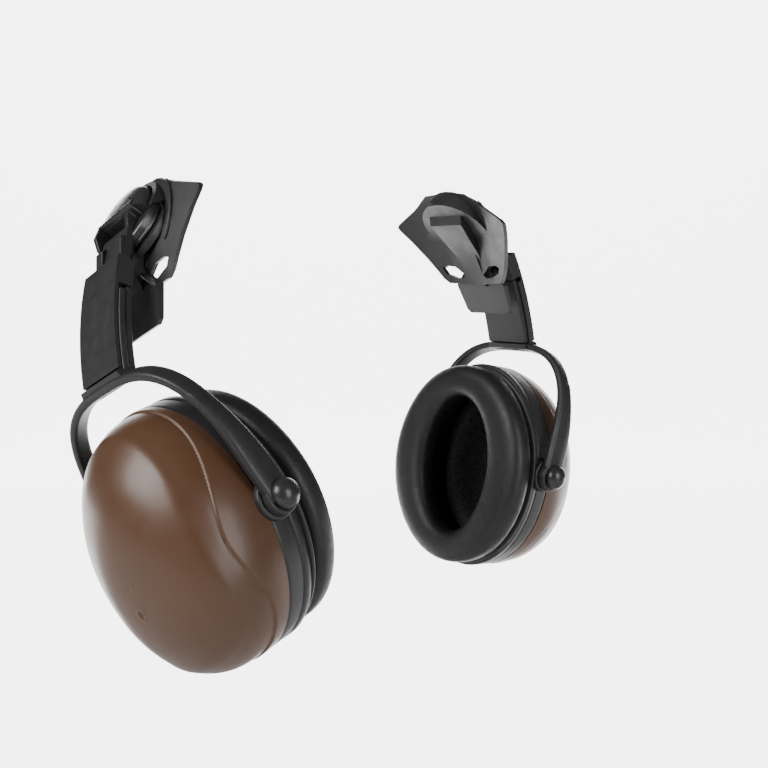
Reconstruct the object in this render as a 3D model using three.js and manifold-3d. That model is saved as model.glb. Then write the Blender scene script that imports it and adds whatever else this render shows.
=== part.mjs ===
// Helmet-mounted earmuffs: a left and a right muff, each on its own clip-on helmet bracket.
// Millimetres. +X is the wearer's left, -Y the wearer's front, +Z up.
// The origin is midway between the two cups, which are worn about 200 mm apart.
import * as THREE from 'three';
import { mergeVertices } from 'three/addons/utils/BufferGeometryUtils.js';
import Module from 'manifold-3d';

const wasm = await Module();
wasm.setup();

// ---- Driving dimensions --------------------------------------------------------------------
// Each muff is drawn in its own frame, with its origin on the cup pivot axis:
// x outward from the head, y towards the wearer's front, z up along the arm.
const GAP = 0.3; // clearance between touching pieces
const RAD = Math.PI / 180;

const CUP = { height: 108, width: 84.1, depth: 39.5, wall: 2.4, seam: 5.1 };
const RING = { depth: 13.6, openWidth: 62, openHeight: 86 };
const CUSHION = { width: 90.8, height: 104.6, depth: 15.6, openWidth: 44, openHeight: 70 };
const PLATE = { thickness: 1.6, width: 88, height: 105.4 };
const PIVOT = { inner: 44.9, outer: 48.5, pinRadius: 2.4, domeRadius: 5.8, eyeRadius: 7.4 };
const YOKE = { lean: 20.6, height: 69.5, band: 3.7, topDepth: 8, endDepth: 13 };
const ARM = { radius: 160, thickness: 8, halfWidth: 13.2, skin: 1.6, stem: 3.0, low: 11.6, high: 29.7 };
const HEAD = { low: 25, pocket: 26.2, halfWidth: 10.2 }; // the arm's hinge head, as angles on its curve
const ARC_CENTRE = new THREE.Vector2(-130.9, 35.3); // centre of the arm's curve, in x and z
const SWING = { x: 6, z: 108.6, pinRadius: 1.2 }; // hinge pin of the arm
const HUB = { x: -14.4, z: 133.6, lean: 50, radius: 16.8, depth: 9 };
const HELMET = { radius: 103, level: 99 }; // curve of the helmet side that the bracket follows

// How each muff hangs: place and angles in degrees.
const MUFFS = [
  { name: 'right', side: -1, place: [-97.9, 0.4, 1.2], toe: 0.2, roll: 23.7, lean: 3.2, cupTilt: 11.2, swing: -9.8 },
  { name: 'left', side: 1, place: [97.8, 0.8, 0.9], toe: 8.2, roll: -0.5, lean: 0, cupTilt: 8.4, swing: 0 },
];

// ---- Materials -----------------------------------------------------------------------------
function material(color, roughness) {
  return new THREE.MeshStandardMaterial({ color, roughness, metalness: 0 });
}

const BLACK = material(0x2a2a2c, 0.5);
const GLOSS = material(0x232325, 0.3);
const BROWN = material(0x6b4a36, 0.35);
const VINYL = material(0x161618, 0.55);
const FOAM = material(0x1c1c1e, 0.95);
const STEEL = new THREE.MeshStandardMaterial({ color: 0x9a9ca0, roughness: 0.35, metalness: 1 });

// ---- Solids --------------------------------------------------------------------------------
function toSolid(geometry) {
  const bare = geometry.clone();
  bare.deleteAttribute('normal');
  bare.deleteAttribute('uv');
  const merged = mergeVertices(bare, 1e-4);
  return new wasm.Manifold(new wasm.Mesh({
    numProp: 3,
    vertProperties: new Float32Array(merged.attributes.position.array),
    triVerts: new Uint32Array(merged.index.array),
  }));
}

function toGeometry(solid) {
  const mesh = solid.getMesh();
  const geometry = new THREE.BufferGeometry();
  geometry.setAttribute('position', new THREE.BufferAttribute(mesh.vertProperties, 3));
  geometry.setIndex(new THREE.BufferAttribute(mesh.triVerts, 1));
  return geometry;
}

function join(first, ...others) {
  return toGeometry(others.reduce((sum, other) => sum.add(toSolid(other)), toSolid(first)));
}

function cut(body, ...tools) {
  return toGeometry(tools.reduce((left, tool) => left.subtract(toSolid(tool)), toSolid(body)));
}

function common(first, second) {
  return toGeometry(toSolid(first).intersect(toSolid(second)));
}

// Extrudes a side outline of [x, z] points across y, from y0 to y1.
function sideProfile(points, y0, y1) {
  const shape = new THREE.Shape(points.map(([x, z]) => new THREE.Vector2(x, z)));
  const geometry = new THREE.ExtrudeGeometry(shape, { depth: y1 - y0, bevelEnabled: false });
  geometry.rotateX(Math.PI / 2);
  geometry.translate(0, y1, 0);
  return geometry;
}

// Extrudes a front outline of [y, z] points along x, from x0 to x1.
function frontProfile(points, x0, x1, holes = []) {
  const shape = new THREE.Shape(points.map(([y, z]) => new THREE.Vector2(y, z)));
  for (const hole of holes) {
    shape.holes.push(new THREE.Path(hole.map(([y, z]) => new THREE.Vector2(y, z))));
  }
  const geometry = new THREE.ExtrudeGeometry(shape, { depth: x1 - x0, bevelEnabled: false });
  geometry.applyMatrix4(new THREE.Matrix4().makeBasis(
    new THREE.Vector3(0, 1, 0), new THREE.Vector3(0, 0, 1), new THREE.Vector3(1, 0, 0)));
  geometry.translate(x0, 0, 0);
  return geometry;
}

// A round pin along y from y0 to y1, centred on (x, z).
function pinAlongY(x, z, radius, y0, y1, sides = 16) {
  const geometry = new THREE.CylinderGeometry(radius, radius, y1 - y0, sides);
  geometry.translate(x, (y0 + y1) / 2, z);
  return geometry;
}

// An oval body lofted from rings of { x, width, height }, closed on itself or on the axis.
function ovalLoft(rings, sides = 28) {
  const profile = rings.map((ring) => new THREE.Vector2(ring.height / 2, ring.x));
  const geometry = new THREE.LatheGeometry(profile, sides);
  const position = geometry.attributes.position;
  for (let i = 0; i < position.count; i += 1) {
    const ring = rings[i % rings.length];
    const ratio = ring.height > 0 ? ring.width / ring.height : 1;
    const across = position.getX(i) * ratio;
    position.setXYZ(i, position.getY(i), across, position.getZ(i));
  }
  return outward(geometry);
}

// Turns the faces over if the volume they enclose comes out negative.
function outward(geometry) {
  const position = geometry.attributes.position;
  const index = geometry.index.array;
  const [a, b, c] = [new THREE.Vector3(), new THREE.Vector3(), new THREE.Vector3()];
  let volume = 0;
  for (let i = 0; i < index.length; i += 3) {
    a.fromBufferAttribute(position, index[i]);
    b.fromBufferAttribute(position, index[i + 1]);
    c.fromBufferAttribute(position, index[i + 2]);
    volume += a.dot(b.cross(c));
  }
  if (volume < 0) {
    for (let i = 0; i < index.length; i += 3) {
      [index[i + 1], index[i + 2]] = [index[i + 2], index[i + 1]];
    }
  }
  return geometry;
}

// A body turned about the hub axis from [radius, height] points; height 0 is the drum's outer rim.
function aboutHub(profile, sides = 26) {
  const geometry = new THREE.LatheGeometry(profile.map(([r, h]) => new THREE.Vector2(r, h)), sides);
  geometry.rotateZ(-Math.PI / 2);
  geometry.rotateY(-HUB.lean * RAD);
  geometry.translate(HUB.x, 0, HUB.z);
  return outward(geometry);
}

// A point of the arm's curve, depth below its outer face, at an angle from the curve's centre.
function armPoint(angle, depth) {
  const radius = ARM.radius - depth;
  return [ARC_CENTRE.x + radius * Math.cos(angle * RAD), ARC_CENTRE.y + radius * Math.sin(angle * RAD)];
}

// Side outline of a strip of the arm between two depths and two angles.
function armStrip(depth0, depth1, low, high, steps = 6) {
  const points = [];
  for (let i = 0; i <= steps; i += 1) points.push(armPoint(low + ((high - low) * i) / steps, depth0));
  for (let i = steps; i >= 0; i -= 1) points.push(armPoint(low + ((high - low) * i) / steps, depth1));
  return points;
}

// ---- Cup -----------------------------------------------------------------------------------
// Rings of the domed shell, inset all over by the wall when it is drawn as the cavity.
function domeRings(inset) {
  const rings = [];
  const steps = 7;
  for (let i = 0; i <= steps; i += 1) {
    const angle = (i / steps) * (Math.PI / 2);
    const reach = i === steps ? 0 : Math.cos(angle) ** (2 / 2.35);
    const rise = Math.sin(angle) ** (2 / 2.46);
    rings.push({
      x: rise * (CUP.depth - inset),
      width: reach * (CUP.width - 2 * inset),
      height: reach * (CUP.height - 2 * inset),
    });
  }
  return rings;
}

// The dome's crown sits lower than the rim's centre.
function lowerCrown(geometry) {
  const position = geometry.attributes.position;
  for (let i = 0; i < position.count; i += 1) {
    const share = Math.max(0, position.getX(i) / CUP.depth) ** 1.5;
    position.setY(i, position.getY(i) + 1.6 * share);
    position.setZ(i, position.getZ(i) - 5.1 * share);
  }
  return geometry;
}

function cupShell() {
  const outer = domeRings(0);
  const inner = domeRings(CUP.wall).reverse();
  return lowerCrown(ovalLoft([...outer, ...inner, outer[0]]));
}

function seatRing() {
  const back = -RING.depth;
  const ring = ovalLoft([
    { x: -GAP, width: CUP.width - 0.6, height: CUP.height - 0.6 },
    { x: -1.5, width: CUP.width, height: CUP.height },
    { x: back, width: CUP.width, height: CUP.height },
    { x: back, width: RING.openWidth, height: RING.openHeight },
    { x: -GAP, width: RING.openWidth + 6, height: RING.openHeight + 6 },
    { x: -GAP, width: CUP.width - 0.6, height: CUP.height - 0.6 },
  ]);
  const bosses = [];
  const bores = [];
  for (const sign of [-1, 1]) {
    const [near, far] = [Math.min(sign * 37, sign * 44.6), Math.max(sign * 37, sign * 44.6)];
    bosses.push(pinAlongY(-CUP.seam, 0, 8.5, near, far, 24));
    const [start, end] = [Math.min(sign * 40.5, sign * 46), Math.max(sign * 40.5, sign * 46)];
    bores.push(pinAlongY(-CUP.seam, 0, PIVOT.pinRadius + GAP, start, end));
  }
  const front = new THREE.BoxGeometry(2 * CUP.seam - 2 * GAP, 200, 60);
  front.translate(-CUP.seam - GAP, 0, 0);
  const trimmed = bosses.map((boss) => common(boss, front));
  return cut(join(ring, ...trimmed), ...bores);
}

// The dome-headed pin that the yoke's end turns on.
function pivotPin(sign) {
  const { inner, outer, pinRadius, domeRadius } = PIVOT;
  const profile = [[0, 41], [pinRadius, 41], [pinRadius, outer + GAP], [domeRadius, outer + GAP]];
  for (const angle of [25, 50, 72]) {
    profile.push([domeRadius * Math.cos(angle * RAD), outer + GAP + domeRadius * Math.sin(angle * RAD)]);
  }
  profile.push([0, outer + GAP + domeRadius]);
  const geometry = new THREE.LatheGeometry(profile.map(([r, h]) => new THREE.Vector2(r, h)), 20);
  if (sign < 0) geometry.rotateX(Math.PI);
  geometry.translate(-CUP.seam, 0, 0);
  return inner > 0 ? outward(geometry) : geometry;
}

function cushionPlate() {
  const front = -RING.depth - GAP;
  const back = front - PLATE.thickness;
  const opening = { width: CUSHION.openWidth + 14, height: CUSHION.openHeight + 12 };
  return ovalLoft([
    { x: front, width: PLATE.width, height: PLATE.height },
    { x: back, width: PLATE.width, height: PLATE.height },
    { x: back, ...opening },
    { x: front, ...opening },
    { x: front, width: PLATE.width, height: PLATE.height },
  ]);
}

// Rings of the cushion from its outer edge over the face and into the opening, inset for the foam.
function cushionRings(inset) {
  const base = -RING.depth - PLATE.thickness - 2 * GAP;
  const grow = (share, size, open) => open + (size - open) * share;
  const section = [[0, 0.95], [0.3, 1], [0.62, 0.965], [0.87, 0.82], [1, 0.56], [0.93, 0.24], [0.7, 0.04],
    [0.3, 0]];
  return section.map(([deep, share]) => {
    const middle = 0.52;
    const pull = share + Math.sign(middle - share) * Math.min(Math.abs(middle - share), inset / 22);
    return {
      x: base - Math.min(deep * CUSHION.depth, CUSHION.depth - inset),
      width: grow(pull, CUSHION.width, CUSHION.openWidth),
      height: grow(pull, CUSHION.height, CUSHION.openHeight),
    };
  });
}

function cushionCover() {
  const outer = cushionRings(0);
  const inner = cushionRings(1.5).reverse();
  return ovalLoft([...outer, ...inner, outer[0]]);
}

function cushionFoam() {
  const rings = cushionRings(1.5 + GAP + 0.1);
  return ovalLoft([...rings, rings[0]]);
}

// The foam block that lines the inside of the cup.
function absorberFoam() {
  const rings = [
    { x: -4, width: 60, height: 84 },
    { x: 16, width: 60, height: 80 },
    { x: 27, width: 42, height: 58 },
    { x: 29, width: 0, height: 0 },
  ];
  const dish = [
    { x: 20, width: 0, height: 0 },
    { x: 19, width: 30, height: 46 },
    { x: 12, width: 40, height: 62 },
    { x: -4, width: 44, height: 68 },
  ];
  return lowerCrown(ovalLoft([...dish, ...rings], 24));
}

// ---- Yoke ----------------------------------------------------------------------------------
// One side of the arch: points of a squared ellipse from the left end to the right end.
function arch(halfWidth, height, steps = 18) {
  const points = [];
  for (let i = 0; i <= steps; i += 1) {
    const angle = Math.PI * (1 - i / steps);
    const across = Math.sign(Math.cos(angle)) * Math.abs(Math.cos(angle)) ** (2 / 3);
    points.push([halfWidth * across, height * Math.abs(Math.sin(angle)) ** (2 / 3)]);
  }
  return points;
}

function yokeBow() {
  const outer = arch(PIVOT.outer, YOKE.height);
  const inner = arch(PIVOT.inner, YOKE.height - YOKE.band).reverse();
  const half = YOKE.endDepth / 2;
  const band = frontProfile([...outer, ...inner], -half, half);
  const top = YOKE.topDepth / 2;
  const taper = sideProfile([[-half, -1], [half, -1], [half, 14], [top, 46], [top, 80], [-top, 80], [-top, 46],
    [-half, 14]], -60, 60);
  const bow = common(band, taper);
  bow.rotateY(YOKE.lean * RAD);
  return bow;
}

function yoke() {
  const stemTop = HEAD.low - 0.8;
  const stem = sideProfile(armStrip(ARM.skin + GAP, ARM.skin + GAP + ARM.stem, ARM.low - 1.6, stemTop),
    -ARM.halfWidth - 0.7, ARM.halfWidth + 0.7);
  const foot = sideProfile(armStrip(0.2, ARM.thickness + 0.2, ARM.low - 1.3, ARM.low - 0.2, 3),
    -ARM.halfWidth, ARM.halfWidth);
  const web = frontProfile(mirrorOutline([[0, 66.5], [20, 64.5], [27, 64.6], [20, 67.6], [16, 69.6], [13.7, 71.4],
    [13.7, 70], [0, 70]]), -3.4, 2.6);
  web.rotateY(YOKE.lean * RAD);
  const eyes = [];
  const holes = [];
  for (const sign of [-1, 1]) {
    const [start, end] = sign > 0 ? [PIVOT.inner, PIVOT.outer] : [-PIVOT.outer, -PIVOT.inner];
    eyes.push(pinAlongY(0, 0, PIVOT.eyeRadius, start, end, 24));
    holes.push(pinAlongY(0, 0, PIVOT.pinRadius + GAP, start - 1, end + 1));
  }
  return cut(join(yokeBow(), foot, web, stem, ...eyes), ...holes);
}

// ---- Arm -----------------------------------------------------------------------------------
function armCover() {
  const { halfWidth, thickness, skin, low, high } = ARM;
  const skinPlate = sideProfile(armStrip(0, skin, low, high), -halfWidth, halfWidth);
  const head = sideProfile(armStrip(0, thickness, HEAD.low, high), -halfWidth, halfWidth);
  const wide = HEAD.halfWidth;
  const pocket = sideProfile(armStrip(skin, thickness + 3, HEAD.pocket, high + 2), -wide, wide);
  const pinHole = pinAlongY(SWING.x, SWING.z, SWING.pinRadius + 0.1, -12.6, 12.6);
  return cut(join(skinPlate, head), pocket, pinHole);
}

function armBackPlate() {
  const { halfWidth, thickness, skin, stem, low } = ARM;
  const start = skin + stem + 2 * GAP;
  const plate = sideProfile(armStrip(start, thickness, low, HEAD.low - 0.15), -halfWidth, halfWidth);
  const slot = sideProfile(armStrip(start - 1, start + 0.8 + GAP, low + 2.6, HEAD.low - 2.6), -3.4, 3.4);
  return cut(plate, slot);
}

// The leaf behind the stem that clicks as the yoke is drawn out.
function clickSpring() {
  const { skin, stem, low } = ARM;
  const start = skin + stem + 2 * GAP;
  return sideProfile(armStrip(start, start + 0.8, low + 3, HEAD.low - 3), -3, 3);
}

function swingPin() {
  return pinAlongY(SWING.x, SWING.z, SWING.pinRadius, -12.3, 12.3);
}

// ---- Hub -----------------------------------------------------------------------------------
// A side point from its height along the hub axis and its distance down the drum's face.
function hubPoint([height, down]) {
  const [cos, sin] = [Math.cos(HUB.lean * RAD), Math.sin(HUB.lean * RAD)];
  return [HUB.x + height * cos + down * sin, HUB.z + height * sin - down * cos];
}

// The drum turns on the bracket. Its lower half is stepped down round the neck that the arm is hinged to.
function hubDrum() {
  const { radius, depth } = HUB;
  const drum = aboutHub([[0, 3.3], [radius * 0.55, 2.8], [radius - 2, 1], [radius, -1.2], [radius, -depth],
    [0, -depth]]);
  const step = sideProfile([[-4, 2.2], [8, 2.2], [8, 30], [-4, 30]].map(hubPoint), -30, 30);
  const lip = sideProfile([[0.4, -10], [3.3, 1.2], [3.3, 2], [2.2, 2.8], [-4.5, 2.8], [-4.5, -10]].map(hubPoint),
    -13, 12.2);
  const cheek = sideProfile([[3.1, 2], [3.1, 8.7], [-0.6, 13.4], [-6, 15], [-8.6, 10], [-8.6, 2]].map(hubPoint),
    -13, -10.6);
  const column = sideProfile([[1.8, 2], [0.6, 6.5], [-2.5, 12.5], [-8.6, 13], [-8.6, 2]].map(hubPoint), 6.6, 9.4);
  const knuckle = pinAlongY(SWING.x, SWING.z, 2.9, -9.8, 9.8, 24);
  const neck = sideProfile([[-9.5, 124.9], [-8.5, 121.8], [3.6, 107.4], [6.6, 110.6], [-3, 122], [-7.5, 126.6]],
    -9.8, 9.8);
  const bore = pinAlongY(SWING.x, SWING.z, SWING.pinRadius + 0.1, -14, 14);
  const axleHole = aboutHub([[0, -2.5], [3.3, -2.5], [3.3, -depth - 3], [0, -depth - 3]], 20);
  return cut(join(cut(drum, step), lip, cheek, column, neck, knuckle), bore, axleHole);
}

function hubAxle() {
  const { depth } = HUB;
  return aboutHub([[0, -3], [3, -3], [3, -depth - 3.2], [5.5, -depth - 3.2], [5.5, -depth - 4.6],
    [0, -depth - 4.6]], 20);
}

// ---- Helmet bracket ------------------------------------------------------------------------
// Outward place of the helmet's side at a height, on the muff's middle plane.
function helmetSide(z) {
  const up = z - HELMET.level;
  return -7 - 0.36 * up - 0.0048 * up * up;
}

// A band of the helmet's outer surface, from under to over it.
function helmetBand(under, over, z0, z1) {
  const steps = 4;
  const profile = [];
  const centre = helmetSide(HELMET.level) - HELMET.radius;
  for (let i = 0; i <= steps; i += 1) {
    const z = z0 + ((z1 - z0) * i) / steps;
    profile.push(new THREE.Vector2(helmetSide(z) - centre + over, z));
  }
  for (let i = steps; i >= 0; i -= 1) {
    const z = z0 + ((z1 - z0) * i) / steps;
    profile.push(new THREE.Vector2(helmetSide(z) - centre + under, z));
  }
  profile.push(profile[0].clone());
  const geometry = new THREE.LatheGeometry(profile, 44);
  geometry.rotateX(Math.PI / 2);
  geometry.translate(centre, 0, 0);
  return outward(geometry);
}

function mirrorOutline(half) {
  return [...half, ...half.slice().reverse().map(([y, z]) => [-y, z])];
}

function bracketWing() {
  const outline = mirrorOutline([[6, 97.5], [18, 98], [20.8, 100.4], [24, 105], [30, 115], [36.6, 125.4],
    [37.3, 127.4], [36, 129], [21, 137.6], [12.8, 142.8], [4, 143.4]]);
  const window = [[6.4, 102.3], [12, 106.8], [18, 107.3], [20.2, 106], [18.6, 103], [13, 101], [8.7, 100.5]];
  const holes = [window, window.map(([y, z]) => [-y, z])];
  return common(frontProfile(outline, -60, 10, holes), helmetBand(0, 2.6, 90, 150));
}

function helmetBracket() {
  const { radius, depth } = HUB;
  const back = -depth - GAP;
  const room = aboutHub([[0, 30], [radius + 0.7, 30], [radius + 0.7, back], [0, back]]);
  const seat = aboutHub([[0, back], [radius + 3.6, back], [radius + 3.6, back - 2.8], [0, back - 2.8]]);
  const hoop = aboutHub([[radius + 1.2, back + 6.5], [radius + 3.6, back + 6.5], [radius + 3.6, back - 2],
    [radius + 1.2, back - 2], [radius + 1.2, back + 6.5]]);
  const above = new THREE.BoxGeometry(60, 80, 60);
  above.translate(-45, 0, 160);
  const body = sideProfile([[-6.2, 117], [-3, 110], [-2.2, 104], [-2, 96.5], [-6.5, 96.5], [-9, 103],
    [-15.5, 114], [-15.5, 118], [-13, 120]], -6, 6);
  const under = back - 2.8;
  const hole = aboutHub([[0, 10], [3.3, 10], [3.3, under], [5.9, under], [5.9, under - 2], [0, under - 2]], 20);
  const housing = sideProfile([[-9, 106], [-14.8, 113], [-20.2, 117.6], [-31, 127.4], [-31.6, 133], [-30, 140],
    [-26, 141], [-24, 134], [-17, 124], [-12, 114], [-7.5, 108]], -12, 12);
  const taper = frontProfile(mirrorOutline([[6.5, 100], [7.2, 106], [11, 128], [11, 145]]), -60, 10);
  const plate = cut(join(bracketWing(), body, common(housing, taper)), room);
  const whole = join(plate, seat, common(hoop, above), slotBlade());
  return cut(whole, hole);
}

// The tongue that clips into the slot in the helmet's side.
function slotBlade() {
  const half = [[0, 82], [13.2, 82], [15, 83.8], [16.6, 97], [9, 104]];
  const outline = mirrorOutline(half);
  const slab = sideProfile([[3.4, 82], [6, 82], [-1.6, 98], [-4.6, 104], [-7.2, 104], [-4.4, 97]], -20, 20);
  return common(slab, frontProfile(outline, -20, 20));
}

// ---- Assembly ------------------------------------------------------------------------------
function mirrored(geometry) {
  const copy = geometry.clone();
  copy.scale(1, -1, 1);
  const index = copy.index.array;
  for (let i = 0; i < index.length; i += 3) {
    [index[i + 1], index[i + 2]] = [index[i + 2], index[i + 1]];
  }
  return copy;
}

function tidy(geometry) {
  const bare = geometry.clone();
  bare.deleteAttribute('normal');
  bare.deleteAttribute('uv');
  const merged = mergeVertices(bare, 1e-4);
  merged.computeVertexNormals();
  return merged;
}

function buildMuff({ name, side, place, toe, roll, lean, cupTilt, swing }) {
  const add = (group, piece, geometry, look) => {
    const shape = tidy(geometry);
    const mesh = new THREE.Mesh(side > 0 ? mirrored(shape) : shape, look);
    mesh.name = `${name}_${piece}`;
    group.add(mesh);
  };
  const muff = new THREE.Group();
  muff.position.set(...place);
  muff.rotation.order = 'ZYX';
  const turn = side < 0 ? 180 + toe : -toe;
  muff.rotation.set(side < 0 ? roll * RAD : -roll * RAD, lean * RAD, turn * RAD);

  const cup = new THREE.Group();
  cup.rotation.y = cupTilt * RAD;
  const cupParts = new THREE.Group();
  cupParts.position.x = CUP.seam;
  cup.add(cupParts);
  muff.add(cup);
  add(cupParts, 'cup_shell', cupShell(), BROWN);
  add(cupParts, 'seat_ring', seatRing(), BLACK);
  add(cupParts, 'front_pivot_pin', pivotPin(1), GLOSS);
  add(cupParts, 'rear_pivot_pin', pivotPin(-1), GLOSS);
  add(cupParts, 'cushion_plate', cushionPlate(), BLACK);
  add(cupParts, 'cushion_cover', cushionCover(), VINYL);
  add(cupParts, 'cushion_foam', cushionFoam(), FOAM);
  add(cupParts, 'absorber_foam', absorberFoam(), FOAM);

  add(muff, 'yoke', yoke(), BLACK);
  add(muff, 'arm_cover', armCover(), BLACK);
  add(muff, 'arm_back_plate', armBackPlate(), BLACK);
  add(muff, 'click_spring', clickSpring(), STEEL);
  add(muff, 'swing_pin', swingPin(), STEEL);

  // The bracket is turned about the hinge pin, so the arm hangs at its own angle to it.
  const bracket = new THREE.Group();
  bracket.position.set(SWING.x, 0, SWING.z);
  bracket.rotation.y = -swing * RAD;
  const bracketParts = new THREE.Group();
  bracketParts.position.set(-SWING.x, 0, -SWING.z);
  bracket.add(bracketParts);
  muff.add(bracket);
  add(bracketParts, 'hub_drum', hubDrum(), GLOSS);
  add(bracketParts, 'hub_axle', hubAxle(), STEEL);
  add(bracketParts, 'helmet_bracket', helmetBracket(), BLACK);
  return muff;
}

const earmuffs = new THREE.Group();
for (const muff of MUFFS) earmuffs.add(buildMuff(muff));

export default earmuffs;
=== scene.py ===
"""Helmet-mounted earmuffs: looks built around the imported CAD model."""

import math

import bmesh
import bpy
import numpy as np
from mathutils import Matrix, Vector


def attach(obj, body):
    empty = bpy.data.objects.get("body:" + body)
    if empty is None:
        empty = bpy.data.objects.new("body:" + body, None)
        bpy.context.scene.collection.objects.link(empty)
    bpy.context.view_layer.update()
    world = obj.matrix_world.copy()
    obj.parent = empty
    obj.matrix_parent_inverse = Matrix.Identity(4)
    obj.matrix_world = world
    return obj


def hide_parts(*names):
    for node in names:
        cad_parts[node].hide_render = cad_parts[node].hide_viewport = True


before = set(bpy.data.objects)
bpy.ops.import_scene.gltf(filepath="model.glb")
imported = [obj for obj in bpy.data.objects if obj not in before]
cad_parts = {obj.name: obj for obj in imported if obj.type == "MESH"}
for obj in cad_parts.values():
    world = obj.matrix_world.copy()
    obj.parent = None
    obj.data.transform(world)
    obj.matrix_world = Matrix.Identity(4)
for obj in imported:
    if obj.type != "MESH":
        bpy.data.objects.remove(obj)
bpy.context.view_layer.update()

# ---- Driving dimensions, in millimetres, the same as the CAD model's ---------------------------
CUP_HEIGHT, CUP_WIDTH, CUP_DEPTH, CUP_WALL, SEAM = 108.0, 84.1, 39.5, 2.4, 5.1
RING_DEPTH, PLATE_THICKNESS, GAP = 13.6, 1.6, 0.3
CUSHION_WIDTH, CUSHION_HEIGHT, CUSHION_DEPTH = 90.8, 104.6, 15.6
OPEN_WIDTH, OPEN_HEIGHT = 44.0, 70.0
YOKE_INNER, YOKE_OUTER, YOKE_HEIGHT, YOKE_BAND, YOKE_LEAN = 44.9, 48.5, 69.5, 3.7, 20.6
ARM_RADIUS, ARM_LOW, ARM_HEAD_LOW, ARM_HALF_WIDTH = 160.0, 11.6, 25.0, 13.2
ARC_CENTRE = (-130.9, 35.3)
SWING = (6.0, 108.6)
HUB_X, HUB_Z, HUB_LEAN, HUB_RADIUS, HUB_DEPTH = -14.4, 133.6, 50.0, 16.8, 9.0
HELMET_LEVEL, HELMET_RADIUS = 99.0, 103.0
BOSS_RADIUS, BOSS_INNER, BOSS_OUTER = 8.6, 37.0, 44.5
WING_THICKNESS = 2.6
RIB_CENTRE, RIB_REACH = 127.5, 23.4
FLOOR_LEVEL, SWEEP_START, SWEEP_GLOW = -0.34, 0.38, 4.8  # metres, metres and emission strength

MUFFS = (
    dict(name="right", side=-1, place=(-97.9, 0.4, 1.2), toe=0.2, roll=23.7, lean=3.2, cup=11.2, swing=-9.8),
    dict(name="left", side=1, place=(97.8, 0.8, 0.9), toe=8.2, roll=-0.5, lean=0.0, cup=8.4, swing=0.0),
)


def turn(degrees, axis):
    return Matrix.Rotation(math.radians(degrees), 4, axis)


def muff_frames(muff):
    """Matrices from the arm's, cup's and bracket's own millimetres to the row frame."""
    left = muff["side"] > 0
    heading = -muff["toe"] if left else 180 + muff["toe"]
    roll = -muff["roll"] if left else muff["roll"]
    mirror = Matrix.Diagonal((1, -1 if left else 1, 1, 1))
    arm = Matrix.Scale(0.001, 4) @ Matrix.Translation(muff["place"])
    arm = arm @ turn(heading, "Z") @ turn(muff["lean"], "Y") @ turn(roll, "X")
    cup = arm @ turn(muff["cup"], "Y") @ Matrix.Translation((SEAM, 0, 0))
    pin = Vector((SWING[0], 0, SWING[1]))
    bracket = arm @ Matrix.Translation(pin) @ turn(-muff["swing"], "Y") @ Matrix.Translation(-pin)
    return {"arm": arm @ mirror, "cup": cup @ mirror, "bracket": bracket @ mirror}


# ---- Materials -------------------------------------------------------------------------------------
class Look:
    """A node material with object-space grain, built from a few named steps."""

    def __init__(self, name, colour, roughness):
        self.material = bpy.data.materials.new(name)
        self.material.use_nodes = True
        self.nodes = self.material.node_tree.nodes
        self.links = self.material.node_tree.links
        self.shader = self.nodes["Principled BSDF"]
        self.shader.inputs["Base Color"].default_value = (*colour, 1)
        self.shader.inputs["Roughness"].default_value = roughness
        self.place = self.nodes.new("ShaderNodeTexCoord").outputs["Object"]
        self.height = None

    def noise(self, scale, detail=2.0, roughness=0.5):
        node = self.nodes.new("ShaderNodeTexNoise")
        node.inputs["Scale"].default_value = scale
        node.inputs["Detail"].default_value = detail
        node.inputs["Roughness"].default_value = roughness
        self.links.new(self.place, node.inputs["Vector"])
        return node.outputs["Fac"]

    def cells(self, scale, feature="F1"):
        node = self.nodes.new("ShaderNodeTexVoronoi")
        node.feature = feature
        node.inputs["Scale"].default_value = scale
        self.links.new(self.place, node.inputs["Vector"])
        return node.outputs["Distance"]

    def spread(self, value, low, high):
        node = self.nodes.new("ShaderNodeMapRange")
        node.inputs["From Min"].default_value = 0.3
        node.inputs["From Max"].default_value = 0.7
        node.inputs["To Min"].default_value = low
        node.inputs["To Max"].default_value = high
        self.links.new(value, node.inputs["Value"])
        return node.outputs["Result"]

    def vary_roughness(self, value, low, high):
        self.links.new(self.spread(value, low, high), self.shader.inputs["Roughness"])

    def vary_colour(self, value, dark, light):
        ramp = self.nodes.new("ShaderNodeValToRGB")
        ramp.color_ramp.elements[0].position = 0.3
        ramp.color_ramp.elements[0].color = (*dark, 1)
        ramp.color_ramp.elements[1].position = 0.7
        ramp.color_ramp.elements[1].color = (*light, 1)
        self.links.new(value, ramp.inputs["Fac"])
        self.links.new(ramp.outputs["Color"], self.shader.inputs["Base Color"])

    def bump(self, value, strength, distance):
        node = self.nodes.new("ShaderNodeBump")
        node.inputs["Strength"].default_value = strength
        node.inputs["Distance"].default_value = distance
        self.links.new(value, node.inputs["Height"])
        if self.height is not None:
            self.links.new(self.height, node.inputs["Normal"])
        self.height = node.outputs["Normal"]
        self.links.new(self.height, self.shader.inputs["Normal"])


def satin_black():
    """Moulded black plastic with a fine spark-eroded grain."""
    look = Look("satin_black", (0.024, 0.024, 0.0245), 0.42)
    look.vary_colour(look.noise(45, 3), (0.021, 0.021, 0.0215), (0.027, 0.027, 0.028))
    look.vary_roughness(look.noise(160, 3), 0.36, 0.5)
    look.bump(look.noise(2600, 2), 0.18, 0.0002)
    return look.material


def gloss_black():
    """Smoother black plastic on the hub and the pivot pins, with faint handling marks."""
    look = Look("gloss_black", (0.026, 0.026, 0.0265), 0.28)
    look.vary_colour(look.noise(60, 3), (0.023, 0.023, 0.0235), (0.029, 0.029, 0.030))
    look.vary_roughness(look.noise(220, 5, 0.7), 0.22, 0.36)
    look.bump(look.noise(900, 2), 0.06, 0.0002)
    return look.material


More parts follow.
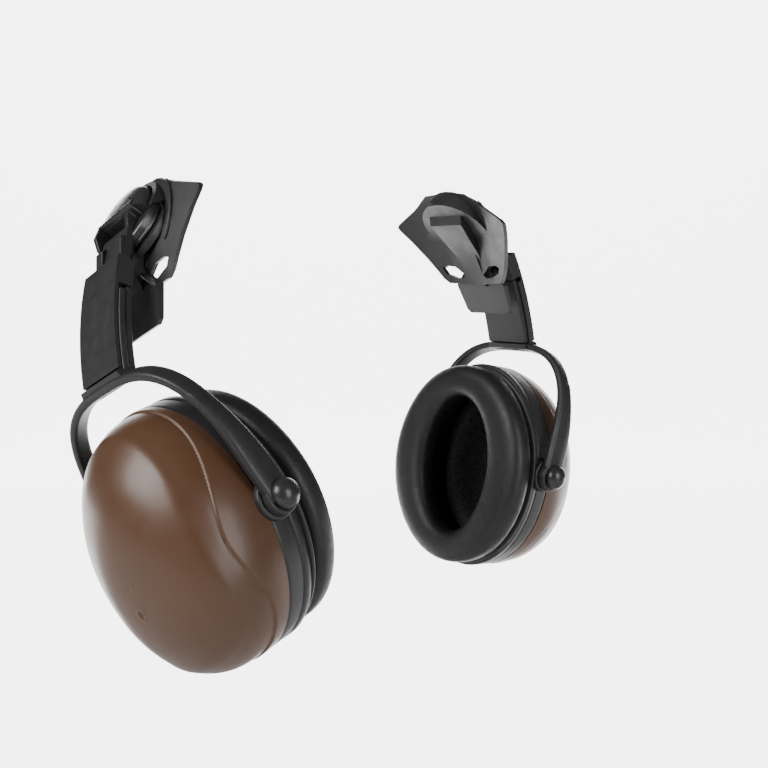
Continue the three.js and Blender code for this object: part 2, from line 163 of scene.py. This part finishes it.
def brown_shell():
    """Semi-gloss brown plastic with slight flow variation and orange peel."""
    look = Look("brown_shell", (0.1, 0.046, 0.022), 0.38)
    look.vary_colour(look.noise(22, 2), (0.094, 0.043, 0.0205), (0.106, 0.049, 0.0235))
    look.vary_roughness(look.noise(120, 3), 0.34, 0.42)
    look.bump(look.noise(260, 1), 0.02, 0.0002)
    look.shader.inputs["Coat Weight"].default_value = 0.12
    look.shader.inputs["Coat Roughness"].default_value = 0.18
    return look.material


def cushion_vinyl():
    """Soft black vinyl skin with a leather grain and faint creases."""
    look = Look("cushion_vinyl", (0.011, 0.011, 0.0115), 0.5)
    look.vary_colour(look.noise(70, 4), (0.0095, 0.0095, 0.010), (0.0135, 0.0135, 0.0145))
    look.vary_roughness(look.noise(300, 4), 0.42, 0.56)
    look.bump(look.noise(60, 3), 0.12, 0.0012)
    look.bump(look.cells(1500), 0.22, 0.00018)
    return look.material


def foam(name, colour):
    """Open-cell foam: matt, with pores."""
    look = Look(name, colour, 0.95)
    light = tuple(1.5 * c for c in colour)
    look.vary_colour(look.noise(500, 4), colour, light)
    look.bump(look.cells(750, "F1"), 0.7, 0.0006)
    look.bump(look.noise(180, 4), 0.3, 0.0008)
    return look.material


def steel():
    """Drawn steel with fine lengthwise scratches."""
    look = Look("drawn_steel", (0.55, 0.56, 0.58), 0.32)
    look.shader.inputs["Metallic"].default_value = 1.0
    look.vary_roughness(look.noise(700, 5, 0.7), 0.24, 0.42)
    look.bump(look.noise(1800, 3), 0.1, 0.0001)
    return look.material


LOOKS = {
    "black_satin": satin_black(),
    "black_gloss": gloss_black(),
    "brown_shell": brown_shell(),
    "cushion_vinyl": cushion_vinyl(),
    "absorber_foam": foam("absorber_foam_look", (0.02, 0.02, 0.022)),
    "steel": steel(),
}


# ---- Mesh building ---------------------------------------------------------------------------------
def piece(name, points, faces, matrix, body, slot, replaces=(), sharp=40, bevel=0.0, bevel_steps=2):
    """One new piece from points in a muff's own millimetres, riding on a CAD body."""
    bm = bmesh.new()
    verts = [bm.verts.new(matrix @ Vector(p)) for p in points]
    for face in faces:
        bm.faces.new([verts[i] for i in face])
    return finish_piece(name, bm, body, slot, replaces, sharp, bevel, bevel_steps)


def finish_piece(name, bm, body, slot, replaces=(), sharp=40, bevel=0.0, bevel_steps=2):
    bmesh.ops.remove_doubles(bm, verts=bm.verts, dist=1e-6)
    bmesh.ops.recalc_face_normals(bm, faces=bm.faces)
    for face in bm.faces:
        face.smooth = True
    for edge in bm.edges:
        if len(edge.link_faces) == 2 and edge.calc_face_angle() > math.radians(sharp):
            edge.smooth = False
    mesh = bpy.data.meshes.new(name)
    bm.to_mesh(mesh)
    bm.free()
    made = bpy.data.objects.new(name, mesh)
    bpy.context.scene.collection.objects.link(made)
    if bevel:
        modifier = made.modifiers.new("edges", "BEVEL")
        modifier.width = bevel / 1000
        modifier.segments = bevel_steps
        modifier.limit_method = "ANGLE"
        modifier.angle_limit = math.radians(28)
        modifier.harden_normals = True
    mesh.materials.append(LOOKS[slot])
    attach(made, body)
    if replaces:
        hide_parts(*replaces)
    return made


def refined(name, node, body, slot, bevel):
    """A copy of a CAD node with its flat faces joined up and its edges rounded."""
    bm = bmesh.new()
    bm.from_mesh(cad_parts[node].data)
    bmesh.ops.remove_doubles(bm, verts=bm.verts, dist=2e-6)
    bmesh.ops.dissolve_limit(
        bm, angle_limit=math.radians(1.5), verts=bm.verts, edges=bm.edges)
    return finish_piece(name, bm, body, slot, (node,), 30, bevel)


def loft_faces(rings, sides, closed):
    """Quads between neighbouring rings, and from the last to the first if it is closed."""
    faces = []
    spans = rings if closed else rings - 1
    for i in range(spans):
        j = (i + 1) % rings
        for k in range(sides):
            n = (k + 1) % sides
            faces.append((i * sides + k, i * sides + n, j * sides + n, j * sides + k))
    return faces


def oval_rings(section, sides):
    """Ring points of an oval body from a section of (x, width, height)."""
    angles = np.linspace(0, 2 * np.pi, sides, endpoint=False)
    rings = np.zeros((len(section), sides, 3))
    for i, (x, width, height) in enumerate(section):
        rings[i, :, 0] = x
        rings[i, :, 1] = width / 2 * np.sin(angles)
        rings[i, :, 2] = height / 2 * np.cos(angles)
    return rings


def lathe(profile, sides, along):
    """Ring points turned from (radius, height) points about an axis through the origin."""
    angles = np.linspace(0, 2 * np.pi, sides, endpoint=False)
    axis = Vector(along).normalized()
    first = axis.orthogonal().normalized()
    second = axis.cross(first)
    points = []
    for radius, height in profile:
        for angle in angles:
            points.append(axis * height + (first * math.cos(angle) + second * math.sin(angle)) * radius)
    return points


def prism(outline, y0, y1):
    """Points and faces of a side outline of (x, z) points carried across y."""
    count = len(outline)
    points = [(x, y0, z) for x, z in outline] + [(x, y1, z) for x, z in outline]
    faces = [tuple(range(count)), tuple(range(2 * count - 1, count - 1, -1))]
    for i in range(count):
        j = (i + 1) % count
        faces.append((i, j, count + j, count + i))
    return points, faces


def merge(*parts):
    """Several (points, faces) as one, still separate shells."""
    points, faces = [], []
    for part_points, part_faces in parts:
        start = len(points)
        points.extend(part_points)
        faces.extend(tuple(start + i for i in face) for face in part_faces)
    return points, faces


def moved(part, offset):
    points, faces = part
    return [Vector(p) + Vector(offset) for p in points], faces


def round_rim(radius, height, edge, steps=4):
    """Profile points of a rounded outer edge, from the side round to the end face."""
    points = []
    for i in range(steps + 1):
        angle = math.pi / 2 * i / steps
        points.append((radius - edge + edge * math.cos(angle), height - edge + edge * math.sin(angle)))
    return points


# ---- Cup -------------------------------------------------------------------------------------------
def dome_grid(inset, rings, sides):
    share = np.linspace(0, 1, rings)[:, None] ** 1.15
    phi = share * (np.pi / 2)
    angle = np.linspace(0, 2 * np.pi, sides, endpoint=False)[None, :]
    reach = np.clip(np.cos(phi), 0, 1) ** (2 / 2.35)
    x = np.clip(np.sin(phi), 0, 1) ** (2 / 2.46) * (CUP_DEPTH - inset) + 0 * angle
    y = reach * (CUP_WIDTH / 2 - inset) * np.sin(angle)
    z = reach * (CUP_HEIGHT / 2 - inset) * np.cos(angle)
    drop = (x / CUP_DEPTH) ** 1.5
    return np.stack([x, y + 1.6 * drop, z - 5.1 * drop], axis=-1), angle


def smooth_step(value, low, high):
    t = np.clip((value - low) / (high - low), 0, 1)
    return t * t * (3 - 2 * t)


def shell_relief(grid, angle):
    """How far the shell's moulded lines stand in or out of the plain dome."""
    x = grid[..., 0]
    from_top = np.abs((np.degrees(angle) + 180) % 360 - 180)
    spread = np.where(from_top < 93, 38, 34)
    crease = 3.5 + 17.3 * np.exp(-((from_top - 93) / spread) ** 2) + 3 * smooth_step(from_top, 110, 170)
    above = x - crease
    relief = -0.75 * smooth_step(above, -0.2, 0.3) * np.exp(-np.clip(above, 0, 99) / 12)
    relief -= 0.45 * np.exp(-(above / 0.32) ** 2)
    shoulder = 19.5 + 9.5 * np.exp(-((from_top - 85) / 45) ** 2) + 9 * smooth_step(from_top, 120, 175)
    relief += 0.45 * np.exp(-((x - shoulder) / 3.0) ** 2)
    gate = np.hypot(grid[..., 1] + 1.1, grid[..., 2] + 15.7)
    relief -= 0.5 * (1 - smooth_step(gate, 0.7, 1.8)) * (x > 30)
    relief += 0.16 * np.exp(-((gate - 2.1) / 0.5) ** 2) * (x > 30)
    return relief


def surface_normals(grid):
    along = np.gradient(grid, axis=0)
    wrapped = np.concatenate([grid[:, -1:], grid, grid[:, :1]], axis=1)
    around = (wrapped[:, 2:] - wrapped[:, :-2]) / 2
    normal = np.cross(along, around)
    length = np.linalg.norm(normal, axis=-1, keepdims=True)
    normal = normal / np.maximum(length, 1e-9)
    flip = np.sign((normal * (grid - grid.reshape(-1, 3).mean(axis=0))).sum(axis=-1, keepdims=True))
    return normal * flip


def cup_shell(muff, frames):
    rings, sides = 260, 240
    outer, angle = dome_grid(0, rings, sides)
    relief = shell_relief(outer, angle)
    relief[-2:] = relief[-3].mean()
    outer = outer + surface_normals(outer) * relief[..., None]
    outer[-1] = outer[-1].mean(axis=0)
    inner, _ = dome_grid(CUP_WALL, 24, sides)
    grid = np.concatenate([outer, inner[::-1]])
    faces = loft_faces(len(grid), sides, True)
    name = muff["name"]
    return piece(name + "_shell", grid.reshape(-1, 3), faces, frames["cup"], name + "_cup", "brown_shell",
                 (name + "_cup_shell",), 60)


def seat_ring(muff, frames):
    """The black band between shell and cushion, with its step, parting line and pivot bosses."""
    w, h, back = CUP_WIDTH, CUP_HEIGHT, -RING_DEPTH
    outside = [(-0.3, -1.4), (-0.5, -0.6), (-1.0, -0.1), (-1.8, 0.1), (-8.2, 0.1), (-8.5, -0.5),
               (-9.0, -0.6), (-9.3, 0.1), (-9.7, 0.5), (-12.9, 0.6), (-13.4, 0.2), (back, -0.6)]
    section = [(x, w + grow, h + grow) for x, grow in outside]
    section += [(back, 63, 87), (back + 0.6, 62, 86), (-1, 66, 90), (-0.3, 67, 91)]
    sides = 200
    ring = (list(oval_rings(section, sides).reshape(-1, 3)), loft_faces(len(section), sides, True))
    parts = [ring]
    for sign in (-1, 1):
        profile = [(0.01, BOSS_INNER), (BOSS_RADIUS, BOSS_INNER)]
        profile += round_rim(BOSS_RADIUS, BOSS_OUTER, 0.9)
        profile += [(6.6, BOSS_OUTER), (6.4, 44.2), (0.01, 44.2)]
        points = lathe(profile, 48, (0, sign, 0))
        parts.append(moved((points, loft_faces(len(profile), 48, False)), (-SEAM, 0, 0)))
    points, faces = merge(*parts)
    name = muff["name"]
    return piece(name + "_band", points, faces, frames["cup"], name + "_cup", "black_satin",
                 (name + "_seat_ring",), 35)


def pivot_pins(muff, frames):
    name = muff["name"]
    for sign, node in ((1, "front_pivot_pin"), (-1, "rear_pivot_pin")):
        base = YOKE_OUTER + GAP
        profile = [(2.4, 41), (2.4, base), (5.2, base), (5.9, base + 0.5), (6.1, base + 1.2)]
        for step in range(1, 15):
            angle = math.pi / 2 * step / 14
            profile.append((6.1 * math.cos(angle) + 0.01, base + 1.2 + 4.9 * math.sin(angle)))
        points = lathe(profile, 56, (0, sign, 0))
        part = moved((points, loft_faces(len(profile), 56, False)), (-SEAM, 0, 0))
        piece(f"{name}_{node}_head", *part, frames["cup"], name + "_cup", "black_gloss",
              (f"{name}_{node}",), 50)


def cushion_plate(muff, frames):
    front, back = -RING_DEPTH - GAP, -RING_DEPTH - GAP - PLATE_THICKNESS
    w, h = 88.0, 105.4
    section = [(front, w - 1.0, h - 1.0), (front - 0.3, w - 0.1, h - 0.1), (front - 0.8, w + 0.2, h + 0.2),
               (back + 0.3, w - 0.1, h - 0.1), (back, w - 1.0, h - 1.0), (back, 58, 82), (front, 58, 82)]
    sides = 180
    name = muff["name"]
    points = oval_rings(section, sides).reshape(-1, 3)
    return piece(name + "_flange", points, loft_faces(len(section), sides, True),
                 frames["cup"], name + "_cup", "black_satin", (name + "_cushion_plate",), 50)


def cushion(muff, frames):
    """A stuffed oval ring: full at the outer edge, pulled in at the welded rim and the opening."""
    base = -RING_DEPTH - PLATE_THICKNESS - 2 * GAP
    steps, sides = 72, 220
    rng = np.random.default_rng(7 if muff["side"] < 0 else 11)
    phase = rng.uniform(0, 2 * np.pi, 6)
    rings = np.zeros((steps, sides, 3))
    around = np.linspace(0, 2 * np.pi, sides, endpoint=False)
    for i in range(steps):
        t = 2 * np.pi * i / steps
        share = 0.5 + 0.5 * np.sign(np.cos(t)) * abs(np.cos(t)) ** 0.78
        deep = 0.5 + 0.5 * np.sign(np.sin(t)) * abs(np.sin(t)) ** 0.72
        back = smooth_step(np.array(1 - deep), 0.75, 1.0)
        share = share + (0.5 - share) * 0.1 * back
        inner_lean = 0.10 * (1 - share) ** 2 * (1 - deep)
        share = share + inner_lean
        wave = 1 + 0.012 * np.sin(3 * around + phase[0]) + 0.008 * np.sin(5 * around + phase[1])
        pucker = 0.25 * (1 - share) ** 3 * np.sin(46 * around + phase[2]) * np.sin(7 * around + phase[3])
        depth = deep * CUSHION_DEPTH * (1 + (wave - 1) * (deep > 0.5))
        width = OPEN_WIDTH + (CUSHION_WIDTH - OPEN_WIDTH) * share + pucker
        height = OPEN_HEIGHT + (CUSHION_HEIGHT - OPEN_HEIGHT) * share + pucker
        rim = 0.5 * np.exp(-((deep - 0.1) / 0.035) ** 2) * (share > 0.8)
        rings[i, :, 0] = base - depth
        rings[i, :, 1] = (width - 2 * rim) / 2 * np.sin(around)
        rings[i, :, 2] = (height - 2 * rim) / 2 * np.cos(around)
    name = muff["name"]
    made = piece(name + "_cushion", rings.reshape(-1, 3), loft_faces(steps, sides, True), frames["cup"],
                 name + "_cup", "cushion_vinyl",
                 (name + "_cushion_cover", name + "_cushion_foam"), 180)
    return made


def absorber(muff, frames):
    """The dished foam block that lines the cup."""
    section = [(20, 0.01, 0.01), (19.8, 16, 24), (19, 30, 46), (16, 36, 55), (12, 40, 62), (4, 43, 66),
               (-2.6, 44.5, 68), (-3.6, 46, 70), (-4, 49, 73), (-3.8, 56, 80), (-3, 59, 83), (6, 60, 83),
               (16, 60, 80), (27, 42, 58), (29, 0.01, 0.01)]
    sides = 120
    rings = oval_rings(section, sides)
    drop = np.clip(rings[..., 0] / CUP_DEPTH, 0, 1) ** 1.5
    rings[..., 1] += 1.6 * drop
    rings[..., 2] -= 5.1 * drop
    rng = np.random.default_rng(3)
    rings[1:-1] += rng.normal(0, 0.12, rings[1:-1].shape)
    name = muff["name"]
    faces = loft_faces(len(section), sides, False)
    made = piece(name + "_lining", rings.reshape(-1, 3), faces, frames["cup"],
                 name + "_cup", "absorber_foam", (name + "_absorber_foam",), 180)
    return made


# ---- Yoke ------------------------------------------------------------------------------------------
def arch_line(half_width, height, samples):
    """Evenly spaced points along a squared half-ellipse, from rear end to front end."""
    angle = np.linspace(np.pi, 0, 1200)
    across = np.sign(np.cos(angle)) * np.abs(np.cos(angle)) ** (2 / 3) * half_width
    up = np.abs(np.sin(angle)) ** (2 / 3) * height
    length = np.concatenate([[0], np.cumsum(np.hypot(np.diff(across), np.diff(up)))])
    at = np.linspace(0, length[-1], samples)
    return np.interp(at, length, across), np.interp(at, length, up)


def bow(samples=170):
    """The yoke's arch as a swept band that widens towards the pivots, with a crowned outer face."""
    middle = (YOKE_INNER + YOKE_OUTER) / 2
    across, up = arch_line(middle, YOKE_HEIGHT - YOKE_BAND / 2, samples)
    across[0], across[-1] = -middle, middle
    tangent = np.stack([np.gradient(across), np.gradient(up)], axis=1)
    tangent /= np.linalg.norm(tangent, axis=1, keepdims=True)
    outward = np.stack([-tangent[:, 1], tangent[:, 0]], axis=1)
    outward *= np.sign((outward * np.stack([across, up], axis=1)).sum(axis=1, keepdims=True))
    corners = 28
    turn_by = np.linspace(0, 2 * np.pi, corners, endpoint=False)
    points = []
    for i in range(samples):
        widen = 1 - smooth_step(np.array(up[i]), 12, 48)
        half_depth = 4.0 + 2.3 * widen
        half_band = YOKE_BAND / 2 + 0.25 * widen
        step = 0.45 * float(across[i] > 0) * (1 - smooth_step(np.array(up[i]), 48, 49.5))
        for angle in turn_by:
            c, s = math.cos(angle), math.sin(angle)
            deep = half_depth * math.copysign(abs(c) ** 0.42, c)
            out = half_band * math.copysign(abs(s) ** 0.42, s)
            if s > 0:
                out += 0.35 * math.cos(deep / half_depth * math.pi / 2) + step * (deep > -1)
            place = (across[i] + outward[i, 0] * out, up[i] + outward[i, 1] * out)
            points.append((deep, place[0], place[1]))
    faces = loft_faces(samples, corners, False)
    faces += [tuple(range(corners)), tuple(range((samples - 1) * corners, samples * corners))]
    return points, faces


def saddle():
    """The web that flows from the arm's foot down into the arch on each side."""
    half = ARM_HALF_WIDTH
    outline = [(half, 71.4)]
    for i in range(13):
        t = i / 12
        outline.append((half + 0.4 + 13.4 * t ** 1.5, 70.6 - 6.0 * (1 - (1 - t) ** 2.0)))
    low = [(20, 64.5), (10, 66.2), (0, 66.5)]
    half_outline = outline + low
    full = half_outline + [(-y, z) for y, z in half_outline[-2::-1]]
    count = len(full)
    points = [(-3.4, y, z) for y, z in full] + [(2.6, y, z) for y, z in full]
    faces = [tuple(range(count)), tuple(range(2 * count - 1, count - 1, -1))]
    for i in range(count):
        j = (i + 1) % count
        faces.append((i, j, count + j, count + i))
    return points, faces


def arm_point(angle, depth):
    radius = ARM_RADIUS - depth
    a = math.radians(angle)
    return ARC_CENTRE[0] + radius * math.cos(a), ARC_CENTRE[1] + radius * math.sin(a)


def arm_strip(depth0, depth1, low, high, steps=20):
    angles = [low + (high - low) * i / steps for i in range(steps + 1)]
    outline = [arm_point(a, depth0) for a in angles]
    return outline + [arm_point(a, depth1) for a in reversed(angles)]


def leaned(part):
    points, faces = part
    lean = turn(YOKE_LEAN, "Y")
    return [lean @ Vector(p) for p in points], faces


def yoke(muff, frames):
    name = muff["name"]
    arch = leaned(bow())
    eyes = []
    for sign in (-1, 1):
        profile = [(0.01, YOKE_INNER), (6.9, YOKE_INNER), (7.4, YOKE_INNER + 0.5)]
        profile += round_rim(7.4, YOKE_OUTER, 0.7) + [(6.2, YOKE_OUTER), (6.0, YOKE_OUTER - 0.25),
                                                      (0.01, YOKE_OUTER - 0.25)]
        eyes.append((lathe(profile, 56, (0, sign, 0)), loft_faces(len(profile), 56, False)))
    points, faces = merge(arch, *eyes)
    piece(name + "_yoke_bow", points, faces, frames["arm"], name + "_yoke", "black_satin",
          (name + "_yoke",), 40)
    half = ARM_HALF_WIDTH
    stem = prism(arm_strip(1.95, 4.85, ARM_LOW - 2, ARM_HEAD_LOW - 0.8), -half - 0.7, half + 0.7)
    piece(name + "_yoke_stem", *stem, frames["arm"], name + "_yoke", "black_satin", (), 40, 0.7, 3)
    foot = prism(arm_strip(0.2, 8.2, ARM_LOW - 1.3, ARM_LOW - 0.2, 4), -half, half)
    piece(name + "_yoke_foot", *foot, frames["arm"], name + "_yoke", "black_satin", (), 40, 0.35, 3)
    web = leaned(saddle())
    piece(name + "_yoke_web", *web, frames["arm"], name + "_yoke", "black_satin", (), 40, 0.9, 3)


# ---- Hub and bracket -------------------------------------------------------------------------------
def about_hub(profile, sides=96):
    lean = math.radians(HUB_LEAN)
    points = lathe(profile, sides, (math.cos(lean), 0, math.sin(lean)))
    return moved((points, loft_faces(len(profile), sides, False)), (HUB_X, 0, HUB_Z))


def hub_point(height, down):
    """A side point from its height along the hub axis and its distance down the drum's face."""
    lean = math.radians(HUB_LEAN)
    return (HUB_X + height * math.cos(lean) + down * math.sin(lean),
            HUB_Z + height * math.sin(lean) - down * math.cos(lean))


def stepped_drum(matrix):
    """The turned drum with the lower half of its face cut away down to a ledge."""
    r, depth, step, ledge = HUB_RADIUS, HUB_DEPTH, 2.2, -4.0
    face = [(0.01, 3.4), (5, 3.2), (9.5, 2.7), (13, 1.8), (14.8, 1.0), (16.0, -0.1), (16.6, -1.3), (r, -2.4)]
    base = [(0.01, ledge), (r - 0.5, ledge), (r, ledge - 0.5), (r, -6.6), (r - 0.3, -6.9), (r - 0.3, -7.4),
            (r, -7.7), (r, -depth + 0.5), (r - 0.5, -depth), (0.01, -depth)]
    bm = bmesh.new()
    points, faces = about_hub(face + [(r, ledge - 0.2), (0.01, ledge - 0.2)])
    verts = [bm.verts.new(p) for p in points]
    for quad in faces:
        bm.faces.new([verts[i] for i in quad])
    x, z = hub_point(0, step)
    down = Vector(hub_point(0, 1)) - Vector(hub_point(0, 0))
    everything = bm.verts[:] + bm.edges[:] + bm.faces[:]
    bmesh.ops.bisect_plane(bm, geom=everything, plane_co=(x, 0, z), plane_no=(down.x, 0, down.y),
                           clear_outer=True)
    bmesh.ops.remove_doubles(bm, verts=bm.verts, dist=0.02)
    bmesh.ops.holes_fill(bm, edges=bm.edges[:], sides=0)
    points, faces = about_hub(base)
    verts = [bm.verts.new(p) for p in points]
    for quad in faces:
        bm.faces.new([verts[i] for i in quad])
    bm.transform(matrix)
    return bm


def hub(muff, frames):
    name = muff["name"]
    finish_piece(name + "_hub_cap", stepped_drum(frames["bracket"]), name + "_hub", "black_gloss",
                 (name + "_hub_drum",), 35)
    shapes = (
        ("lip", [(0.4, -8), (3.0, 0.9), (3.3, 1.7), (2.9, 2.6), (1.9, 2.9), (-4.3, 2.9), (-4.3, -8)],
         -13, 12.2, 0.45),
        ("inner_lip", [(0.4, 2), (1.0, 3.7), (-4.3, 3.9), (-4.3, 2)], -10.5, 9.6, 0.3),
        ("rear_cheek", [(3.1, 2.2), (3.1, 8.7), (-0.6, 13.4), (-6, 15), (-8, 10), (-8, 2.2)],
         -13, -10.6, 0.55),
        ("front_column", [(1.5, 2.2), (0.8, 6), (-2, 12.5), (-8, 13), (-8, 2.2)], 6.7, 9.4, 0.5),
    )
    for label, outline, y0, y1, bevel in shapes:
        solid = prism([hub_point(height, down) for height, down in outline], y0, y1)
        piece(f"{name}_hub_{label}", *solid, frames["bracket"], name + "_hub", "black_gloss",
              (), 40, bevel, 3)
    neck_outline = [(-9.5, 124.9), (-8.5, 121.8), (3.6, 107.4), (6.6, 110.6), (-3, 122), (-7.5, 126.6)]
    neck = prism(neck_outline, -9.8, 9.8)
    piece(name + "_hub_neck", *neck, frames["bracket"], name + "_hub", "black_satin", (), 40, 0.6, 3)
    for y0, y1, label in ((-9.8, -4.5, "rear"), (4.5, 9.8, "front")):
        rib = prism([(-3.4, 123), (-0.6, 122.4), (4.6, 113.4), (6.6, 110.6), (3.4, 112)], y0, y1)
        piece(f"{name}_hub_{label}_rib", *rib, frames["bracket"], name + "_hub", "black_satin",
              (), 40, 0.5, 2)


def helmet_side(y, z):
    up = z - HELMET_LEVEL
    return -7 - 0.36 * up - 0.0048 * up * up - y * y / (2 * HELMET_RADIUS)


def tube(line, radius, sides=10):
    """A round bead along a line of points, with closed ends."""
    points = []
    for i, p in enumerate(line):
        ahead = Vector(line[min(i + 1, len(line) - 1)]) - Vector(line[max(i - 1, 0)])
        ahead.normalize()
        first = ahead.orthogonal().normalized()
        if i:
            first = (last - ahead * last.dot(ahead)).normalized()
        last = first
        second = ahead.cross(first)
        size = radius * (0.35 if i in (0, len(line) - 1) else 1)
        for k in range(sides):
            a = 2 * math.pi * k / sides
            points.append(Vector(p) + (first * math.cos(a) + second * math.sin(a)) * size)
    faces = loft_faces(len(line), sides, False)
    faces += [tuple(range(sides)), tuple(range((len(line) - 1) * sides, len(line) * sides))]
    return points, faces


def wing_line(points, proud):
    return [(helmet_side(y, z) + WING_THICKNESS + proud, y, z) for y, z in points]


def bracket(muff, frames):
    name = muff["name"]
    refined(name + "_bracket", name + "_helmet_bracket", "brackets", "black_satin", 0.5)
    beads = []
    for sign in (-1, 1):
        arc = []
        for i in range(15):
            a = math.radians(60 + 65 * i / 14)
            arc.append((sign * RIB_REACH * math.sin(a), RIB_CENTRE + RIB_REACH * math.cos(a)))
        beads.append(tube(wing_line(arc, -0.1), 0.75))
        start, end = Vector((-3.2, sign * 8, 105.6)), Vector((-0.4, sign * 18, 94.4))
        ridge = [start.lerp(end, i / 8) for i in range(7)]
        beads.append(tube(ridge, 1.1))
    points, faces = merge(*beads)
    piece(name + "_bracket_ribs", points, faces, frames["bracket"], "brackets", "black_satin", (), 60)


def arm(muff, frames):
    name = muff["name"]
    refined(name + "_arm_skin", name + "_arm_cover", name + "_arm", "black_satin", 0.8)
    refined(name + "_arm_back", name + "_arm_back_plate", name + "_arm", "black_satin", 0.5)


def hidden_nodes(muff):
    """Inner nodes whose CAD shape is already right."""
    name = muff["name"]
    for node in ("click_spring", "swing_pin", "hub_axle"):
        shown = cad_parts[f"{name}_{node}"]
        shown.data.materials.clear()
        shown.data.materials.append(LOOKS["steel"])


# ---- Stage, light and camera -----------------------------------------------------------------------
def pale_sheet(name, profile, half_width, glow):
    """A pale sheet swept along the view from (reach, height) points; glow makes it shine like a lit wall."""
    look = Look(name, (0.8, 0.8, 0.8), 0.9)
    look.vary_roughness(look.noise(3), 0.86, 0.94)
    look.shader.inputs["Emission Color"].default_value = (1, 1, 1, 1)
    look.shader.inputs["Emission Strength"].default_value = glow
    ahead = Vector((0.7658, 0.6362, 0)).normalized()
    across = Vector((ahead.y, -ahead.x, 0))
    mesh = bpy.data.meshes.new(name)
    verts = []
    for reach, height in profile:
        for side in (-half_width, half_width):
            verts.append(ahead * reach + across * side + Vector((0, 0, height)))
    faces = [(2 * i, 2 * i + 1, 2 * i + 3, 2 * i + 2) for i in range(len(profile) - 1)]
    mesh.from_pydata(verts, [], faces)
    for polygon in mesh.polygons:
        polygon.use_smooth = True
    mesh.materials.append(look.material)
    sheet = bpy.data.objects.new(name, mesh)
    bpy.context.scene.collection.objects.link(sheet)


def backdrop():
    """A pale floor, and behind the object a brightly lit sweep that curves up into a wall."""
    level, start = FLOOR_LEVEL, SWEEP_START
    pale_sheet("floor", [(-2.5, level), (start, level)], 2.2, 0.0)
    sweep = [(start, level)]
    for i in range(13):
        a = math.pi / 2 * i / 12
        sweep.append((2.0 + 1.2 * math.sin(a), level + 1.2 * (1 - math.cos(a))))
    sweep.append((3.2, 1.5))
    pale_sheet("lit_sweep", sweep, 2.2, SWEEP_GLOW)


def area_light(name, place, aim, size, power):
    data = bpy.data.lights.new(name, "AREA")
    data.shape = "RECTANGLE"
    data.size, data.size_y = size
    data.energy = power
    light = bpy.data.objects.new(name, data)
    light.location = place
    light.rotation_euler = (Vector(aim) - Vector(place)).to_track_quat("-Z", "Y").to_euler()
    bpy.context.scene.collection.objects.link(light)


def studio():
    world = bpy.data.worlds.new("studio")
    world.use_nodes = True
    background = world.node_tree.nodes["Background"]
    background.inputs["Color"].default_value = (1, 1, 1, 1)
    background.inputs["Strength"].default_value = 0.1
    bpy.context.scene.world = world
    area_light("upper_left", (-1.2, 0.25, 0.7), (-0.08, 0, 0), (0.9, 0.8), 20)
    area_light("front_right", (-0.1, -1.3, 0.35), (0, 0, 0), (0.6, 0.9), 9)


def camera():
    data = bpy.data.cameras.new("camera")
    data.sensor_width = 36.0
    data.lens = 48.78
    data.clip_start = 0.01
    view = bpy.data.objects.new("camera", data)
    view.location = (-0.36737, -0.31586, 0.09733)
    view.rotation_euler = (math.radians(84.64), 0, math.radians(-50.28))
    bpy.context.scene.collection.objects.link(view)
    bpy.context.scene.camera = view


camera()
studio()
backdrop()
for muff in MUFFS:
    frames = muff_frames(muff)
    cup_shell(muff, frames)
    seat_ring(muff, frames)
    pivot_pins(muff, frames)
    cushion_plate(muff, frames)
    cushion(muff, frames)
    absorber(muff, frames)
    yoke(muff, frames)
    arm(muff, frames)
    hub(muff, frames)
    bracket(muff, frames)
    hidden_nodes(muff)
